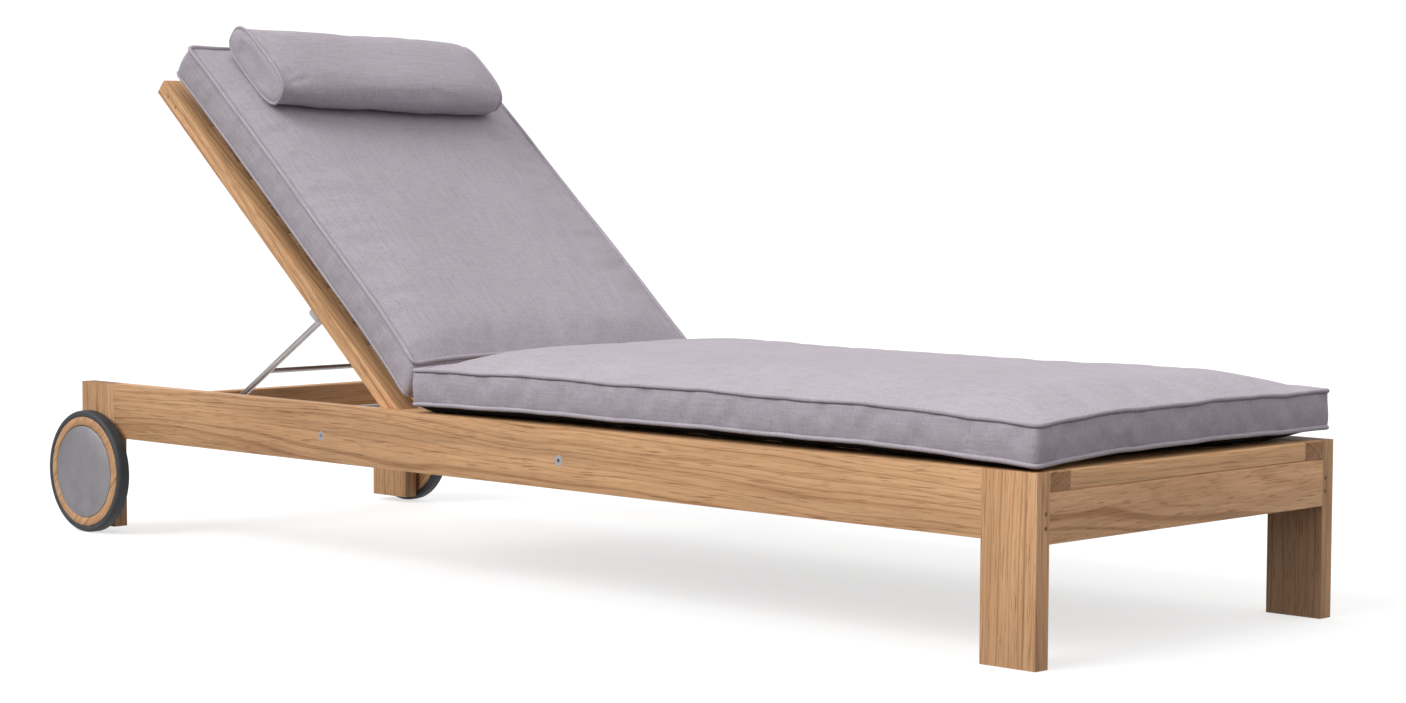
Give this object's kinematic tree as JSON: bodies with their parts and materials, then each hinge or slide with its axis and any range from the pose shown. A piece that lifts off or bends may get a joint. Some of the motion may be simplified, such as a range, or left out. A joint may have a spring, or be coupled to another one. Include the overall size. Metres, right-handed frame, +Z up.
{
  "type": "reclining sun lounger",
  "caption": "Low teak sun lounger with a propped reclining backrest, two wheels at the head end, box cushions and a head pillow.",
  "frame": {"origin": "on the ground, at the middle of the lounger's footprint", "axes": "+X towards the foot end, -X towards the head end and the wheels, +Z up"},
  "size_m": [2.056, 0.71, 0.8226],
  "materials": {
    "teak": "oiled satin",
    "teak_pin": "oiled satin, end grain",
    "stainless": "fine satin",
    "brushed_cap": "satin",
    "brass": "plain",
    "tyre_rubber": "matte",
    "nylon": "matte",
    "cushion_fabric": "woven canvas"
  },
  "bodies": {
    "frame": {"side_rail_left": "teak", "side_rail_right": "teak", "head_leg_left": "teak", "head_leg_right": "teak", "foot_leg_left": "teak", "foot_leg_right": "teak", "seat_stringer_left": "teak", "seat_stringer_right": "teak", "ratchet_ledger_left": "teak", "ratchet_ledger_right": "teak", "stub_axle_left": "stainless", "stub_axle_right": "stainless", "foot_crossrail": "teak", "head_crossrail": "teak", "middle_crossrail": "teak", "hinge_crossrail": "teak", "seat_end_slat": "teak", "rail_dowels": "teak_pin", "tenon_pins": "teak_pin", "rail_bolts": "stainless", "barrel_nuts": "brass", "rail_screws": "stainless", "hinge_pins": "stainless", "seat_cushion": "cushion_fabric", "seat_slat_1": "teak", "seat_slat_2": "teak", "seat_slat_3": "teak", "seat_slat_4": "teak", "seat_slat_5": "teak", "seat_slat_6": "teak", "seat_slat_7": "teak", "seat_slat_8": "teak"},
    "backrest": {"back_stile_left": "teak", "back_stile_right": "teak", "prop_bracket_left": "stainless", "prop_bracket_right": "stainless", "back_top_rail": "teak", "stile_pins": "teak_pin", "hinge_bushes": "nylon", "prop_pins": "stainless", "bracket_screws": "stainless", "back_cushion": "cushion_fabric", "back_slat_1": "teak", "back_slat_2": "teak", "back_slat_3": "teak", "back_slat_4": "teak", "back_slat_5": "teak"},
    "prop": {"prop_arm_left": "stainless", "prop_arm_right": "stainless", "prop_crossbar": "stainless", "prop_foot_bar": "stainless"},
    "wheel_left": {"tyre_left": "tyre_rubber", "wheel_disc_left": "teak", "wheel_cap_left": "brushed_cap", "hub_bush_left": "nylon"},
    "wheel_right": {"tyre_right": "tyre_rubber", "wheel_disc_right": "teak", "wheel_cap_right": "brushed_cap", "hub_bush_right": "nylon"},
    "pillow": {"head_pillow": "cushion_fabric"}
  },
  "joints": [
    {"name": "backrest_recline", "type": "hinge", "parent": "frame", "child": "backrest", "pos_m": [-0.208, 0, 0.2325], "axis": [0, 1, 0], "range_deg": [-40.6, 19.4]},
    {"name": "prop_swing", "type": "hinge", "parent": "backrest", "child": "prop", "pos_m": [-0.40009, 0, 0.36949], "axis": [0, 1, 0], "range_deg": [-34.1, 71.3]},
    {"name": "pillow_slide", "type": "slide", "parent": "backrest", "child": "pillow", "axis": [-0.7593, 0, 0.6508], "range_m": [-0.12, 0.02]},
    {"name": "wheel_left_spin", "type": "hinge", "parent": "frame", "child": "wheel_left", "pos_m": [-0.928, 0.344, 0.1], "axis": [0, 1, 0], "continuous": true},
    {"name": "wheel_right_spin", "type": "hinge", "parent": "frame", "child": "wheel_right", "pos_m": [-0.928, -0.344, 0.1], "axis": [0, 1, 0], "continuous": true}
  ],
  "couplings": [
    {"joint": "prop_swing", "follows": "backrest_recline", "ratio": -1.754}
  ]
}
